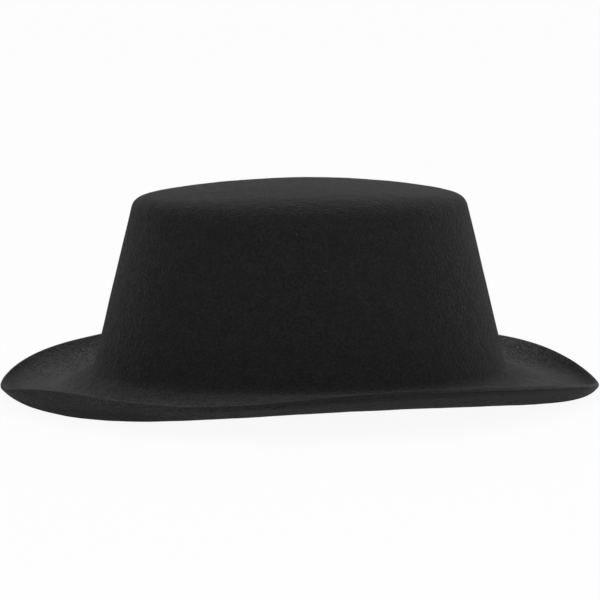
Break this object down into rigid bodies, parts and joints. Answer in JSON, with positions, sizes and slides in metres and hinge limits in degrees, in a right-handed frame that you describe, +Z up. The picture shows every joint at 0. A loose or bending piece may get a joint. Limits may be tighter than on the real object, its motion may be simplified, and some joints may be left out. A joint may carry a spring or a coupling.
{
  "type": "top hat",
  "caption": "Low-crowned black felt hat with a tapered oval crown, a gently domed tip and a raw-edged brim that curls up all round, lined with satin and fitted with a reeded leather sweatband.",
  "frame": {"origin": "middle of the hat's outline, on the plane that the two ends of the brim stand on", "axes": "+X towards the front of the hat along its long axis, +Y towards the wearer's left, +Z up through the tip"},
  "size_m": [0.2997, 0.2718, 0.1055],
  "materials": {
    "felt": "black wool felt, matt with a faint sheen at grazing angles",
    "satin": "black satin lining",
    "leather": "black fine-grained sweatband leather",
    "reed": "pale plastic reed",
    "tape": "black woven tape",
    "thread": "black sewing thread",
    "ribbon": "black ribbed ribbon",
    "label": "off-white woven cloth, bare"
  },
  "bodies": {
    "root": {"felt_body": "felt", "lining_side": "satin", "lining_tip": "satin", "sweatband": "leather", "sweatband_reed": "reed", "reed_tape": "tape", "sweatband_thread": "thread", "sweatband_bow": "ribbon", "size_label": "label"}
  },
  "joints": []
}
